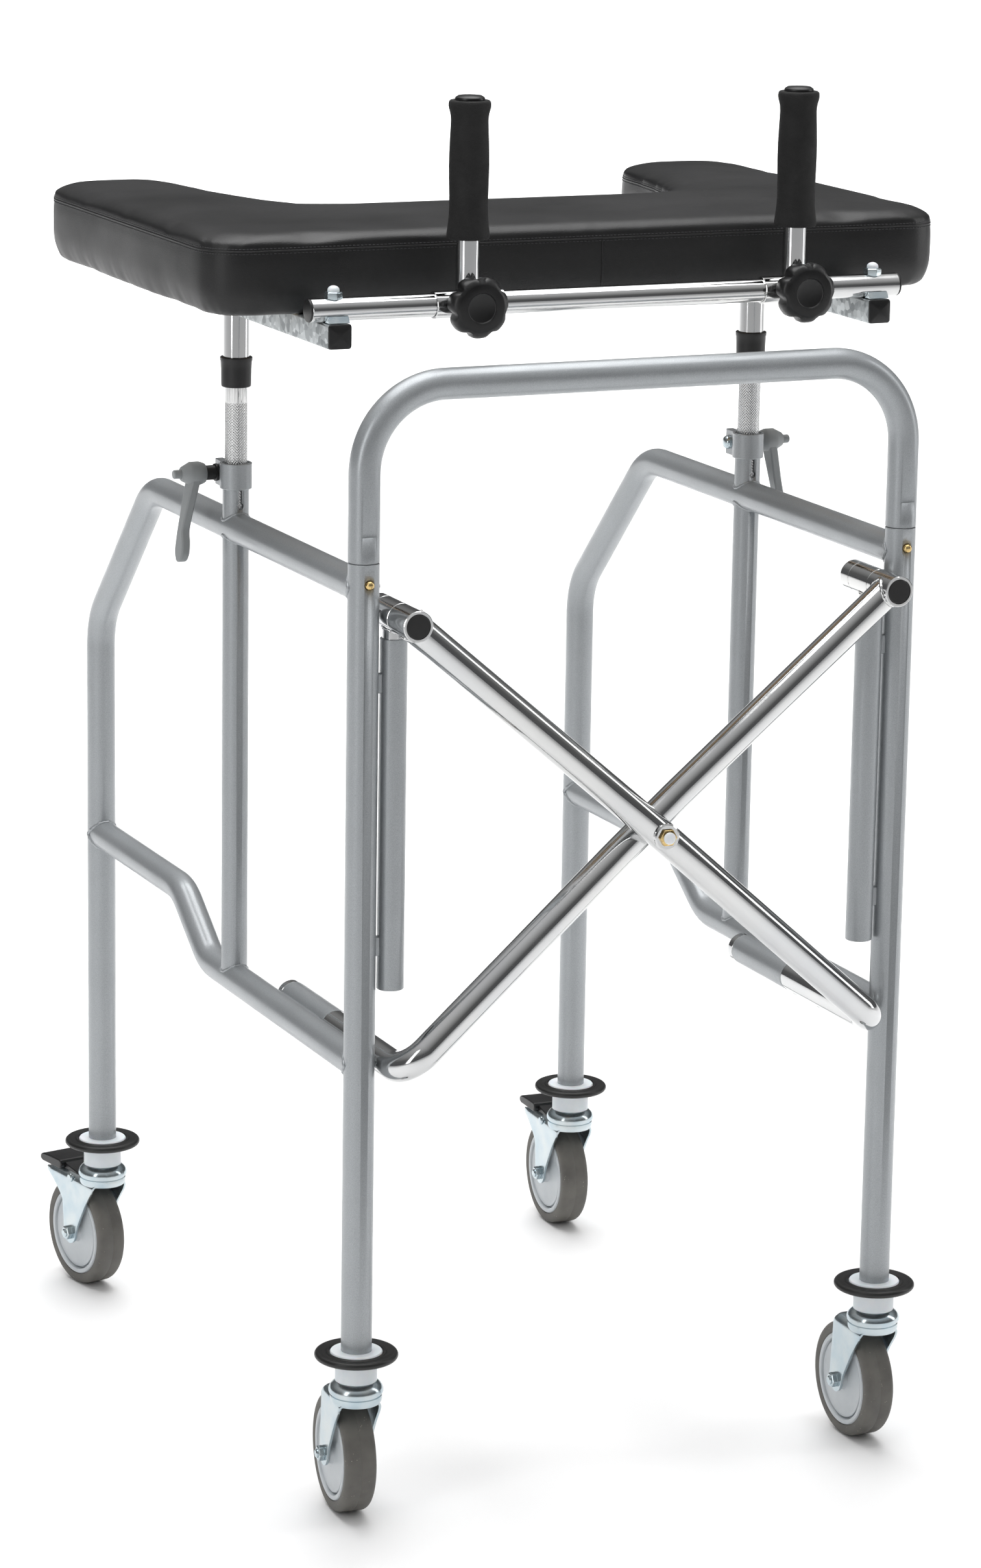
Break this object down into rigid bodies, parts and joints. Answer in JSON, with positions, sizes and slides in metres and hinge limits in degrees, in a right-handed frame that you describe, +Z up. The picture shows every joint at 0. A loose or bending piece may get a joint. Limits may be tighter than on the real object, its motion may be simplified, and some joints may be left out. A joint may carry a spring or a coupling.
{
  "type": "walking frame",
  "caption": "Folding wheeled walking frame with a padded forearm platform, upright hand grips and swivel casters, the rear ones braked.",
  "frame": {"origin": "centre of the footprint at floor level", "axes": "+Z up, -Y to the front where the brace and arch are, +Y to the walking person, +X to the right as seen from the front"},
  "size_m": [0.67, 0.7772, 1.16],
  "materials": {
    "frame_paint": "silver-grey metallic powder coat",
    "chrome_tube": "bright nickel-chrome plate",
    "zinc_plate": "bright zinc plate, slightly blue",
    "brass_button": "plain brass",
    "black_rubber": "moulded black rubber",
    "white_plastic": "natural white nylon",
    "core_plastic": "light grey moulded plastic",
    "grey_tyre": "warm grey non-marking tread",
    "grey_plastic": "moulded grey plastic",
    "black_plastic": "moulded black plastic",
    "vinyl": "black upholstery vinyl over foam",
    "grip_foam": "closed-cell black foam"
  },
  "bodies": {
    "left_frame": {"front_leg_left": "frame_paint", "rear_leg_rail_left": "frame_paint", "lower_rail_left": "frame_paint", "column_left": "frame_paint", "clamp_collar_left": "frame_paint", "caster_bush_front_left": "white_plastic", "bumper_ring_front_left": "black_rubber", "caster_bush_rear_left": "white_plastic", "bumper_ring_rear_left": "black_rubber"},
    "right_frame": {"front_leg_right": "frame_paint", "rear_leg_rail_right": "frame_paint", "lower_rail_right": "frame_paint", "column_right": "frame_paint", "clamp_collar_right": "frame_paint", "caster_bush_front_right": "white_plastic", "bumper_ring_front_right": "black_rubber", "caster_bush_rear_right": "white_plastic", "bumper_ring_rear_right": "black_rubber"},
    "brace_back": {"brace_arm_back": "chrome_tube", "centre_bolt": "zinc_plate"},
    "brace_front": {"brace_arm_front": "chrome_tube"},
    "slider_left": {"slider_left": "chrome_tube"},
    "slider_right": {"slider_right": "chrome_tube"},
    "arch": {"arch": "frame_paint"},
    "snap_left": {"snap_button_left": "brass_button"},
    "snap_right": {"snap_button_right": "brass_button"},
    "platform": {"forearm_pad": "vinyl", "square_bar_left": "zinc_plate", "square_bar_right": "zinc_plate", "cross_bar": "chrome_tube", "outer_post_left": "chrome_tube", "outer_post_right": "chrome_tube", "inner_post_left": "chrome_tube"},
    "post_right": {"inner_post_right": "chrome_tube"},
    "grip_left": {"grip_stem_left": "chrome_tube", "grip_foam_left": "grip_foam"},
    "knob_left": {"star_knob_left": "black_plastic"},
    "lever_left": {"clamp_lever_left": "grey_plastic"},
    "grip_right": {"grip_stem_right": "chrome_tube", "grip_foam_right": "grip_foam"},
    "knob_right": {"star_knob_right": "black_plastic"},
    "lever_right": {"clamp_lever_right": "grey_plastic"},
    "caster_front_left": {"caster_fork_front_left": "zinc_plate", "axle_bolt_front_left": "zinc_plate"},
    "wheel_front_left": {"wheel_core_front_left": "core_plastic", "tyre_front_left": "grey_tyre"},
    "caster_rear_left": {"caster_fork_rear_left": "zinc_plate", "axle_bolt_rear_left": "zinc_plate"},
    "wheel_rear_left": {"wheel_core_rear_left": "core_plastic", "tyre_rear_left": "grey_tyre"},
    "pedal_rear_left": {"brake_pedal_rear_left": "black_plastic"},
    "caster_front_right": {"caster_fork_front_right": "zinc_plate", "axle_bolt_front_right": "zinc_plate"},
    "wheel_front_right": {"wheel_core_front_right": "core_plastic", "tyre_front_right": "grey_tyre"},
    "caster_rear_right": {"caster_fork_rear_right": "zinc_plate", "axle_bolt_rear_right": "zinc_plate"},
    "wheel_rear_right": {"wheel_core_rear_right": "core_plastic", "tyre_rear_right": "grey_tyre"},
    "pedal_rear_right": {"brake_pedal_rear_right": "black_plastic"}
  },
  "joints": [
    {"name": "fold", "type": "hinge", "parent": "left_frame", "child": "brace_back", "pos_m": [-0.2136, 0, 0.391], "axis": [0, -1, 0], "range_deg": [0, 43]},
    {"name": "brace_cross", "type": "hinge", "parent": "brace_back", "child": "brace_front", "pos_m": [0, 0, 0.5755], "axis": [0, -1, 0], "range_deg": [-86, 0]},
    {"name": "right_frame_pivot", "type": "hinge", "parent": "brace_front", "child": "right_frame", "pos_m": [0.2136, 0, 0.391], "axis": [0, -1, 0], "range_deg": [0, 43]},
    {"name": "left_slider_pivot", "type": "hinge", "parent": "brace_front", "child": "slider_left", "pos_m": [-0.2136, 0, 0.76], "axis": [0, -1, 0], "range_deg": [0, 43]},
    {"name": "right_slider_pivot", "type": "hinge", "parent": "brace_back", "child": "slider_right", "pos_m": [0.2136, 0, 0.76], "axis": [0, -1, 0], "range_deg": [-43, 0]},
    {"name": "arch_lift", "type": "slide", "parent": "left_frame", "child": "arch", "axis": [0, 0, 1], "range_m": [0, 0.151]},
    {"name": "snap_press_left", "type": "slide", "parent": "left_frame", "child": "snap_left", "axis": [0, 1, 0], "range_m": [0, 0.003], "stiffness_N_per_m": 400, "springref_m": -0.004},
    {"name": "snap_press_right", "type": "slide", "parent": "right_frame", "child": "snap_right", "axis": [0, 1, 0], "range_m": [0, 0.003], "stiffness_N_per_m": 400, "springref_m": -0.004},
    {"name": "platform_height", "type": "slide", "parent": "left_frame", "child": "platform", "axis": [0, 0, 1], "range_m": [-0.05, 0.2]},
    {"name": "right_post_height", "type": "slide", "parent": "right_frame", "child": "post_right", "axis": [0, 0, 1], "range_m": [-0.05, 0.2]},
    {"name": "grip_slide_left", "type": "slide", "parent": "platform", "child": "grip_left", "axis": [1, 0, 0], "range_m": [-0.05, 0.05]},
    {"name": "knob_turn_left", "type": "hinge", "parent": "grip_left", "child": "knob_left", "pos_m": [-0.126, -0.2525, 0.996], "axis": [0, -1, 0], "continuous": true},
    {"name": "clamp_turn_left", "type": "hinge", "parent": "left_frame", "child": "lever_left", "pos_m": [-0.24, -0.0175, 0.828], "axis": [1, 0, 0], "range_deg": [-90, 90]},
    {"name": "grip_slide_right", "type": "slide", "parent": "platform", "child": "grip_right", "axis": [1, 0, 0], "range_m": [-0.05, 0.03]},
    {"name": "knob_turn_right", "type": "hinge", "parent": "grip_right", "child": "knob_right", "pos_m": [0.167, -0.2525, 0.996], "axis": [0, -1, 0], "continuous": true},
    {"name": "clamp_turn_right", "type": "hinge", "parent": "right_frame", "child": "lever_right", "pos_m": [0.24, -0.0175, 0.828], "axis": [1, 0, 0], "range_deg": [-90, 90]},
    {"name": "swivel_front_left", "type": "hinge", "parent": "left_frame", "child": "caster_front_left", "pos_m": [-0.24, -0.3165, 0.115], "axis": [0, 0, 1], "continuous": true},
    {"name": "roll_front_left", "type": "hinge", "parent": "caster_front_left", "child": "wheel_front_left", "pos_m": [-0.23739, -0.28661, 0.05], "axis": [0.9962, -0.0872, 0], "continuous": true},
    {"name": "swivel_rear_left", "type": "hinge", "parent": "left_frame", "child": "caster_rear_left", "pos_m": [-0.24, 0.3035, 0.115], "axis": [0, 0, 1], "continuous": true},
    {"name": "roll_rear_left", "type": "hinge", "parent": "caster_rear_left", "child": "wheel_rear_left", "pos_m": [-0.24572, 0.33295, 0.05], "axis": [0.9816, 0.1908, 0], "continuous": true},
    {"name": "brake_rear_left", "type": "hinge", "parent": "caster_rear_left", "child": "pedal_rear_left", "pos_m": [-0.24534, 0.33099, 0.104], "axis": [-0.9816, -0.1908, 0], "range_deg": [0, 3]},
    {"name": "swivel_front_right", "type": "hinge", "parent": "right_frame", "child": "caster_front_right", "pos_m": [0.24, -0.3165, 0.115], "axis": [0, 0, 1], "continuous": true},
    {"name": "roll_front_right", "type": "hinge", "parent": "caster_front_right", "child": "wheel_front_right", "pos_m": [0.24, -0.2865, 0.05], "axis": [1, 0, 0], "continuous": true},
    {"name": "swivel_rear_right", "type": "hinge", "parent": "right_frame", "child": "caster_rear_right", "pos_m": [0.24, 0.3035, 0.115], "axis": [0, 0, 1], "continuous": true},
    {"name": "roll_rear_right", "type": "hinge", "parent": "caster_rear_right", "child": "wheel_rear_right", "pos_m": [0.24105, 0.33348, 0.05], "axis": [0.9994, -0.0349, 0], "continuous": true},
    {"name": "brake_rear_right", "type": "hinge", "parent": "caster_rear_right", "child": "pedal_rear_right", "pos_m": [0.24098, 0.33148, 0.104], "axis": [-0.9994, 0.0349, 0], "range_deg": [0, 3]}
  ],
  "couplings": [
    {"joint": "brace_cross", "follows": "fold", "ratio": -2},
    {"joint": "right_frame_pivot", "follows": "fold", "ratio": 1},
    {"joint": "left_slider_pivot", "follows": "fold", "ratio": 1},
    {"joint": "right_slider_pivot", "follows": "fold", "ratio": -1},
    {"joint": "arch_lift", "follows": "fold", "m_per_rad": 0.2},
    {"joint": "right_post_height", "follows": "platform_height", "ratio": 1}
  ]
}
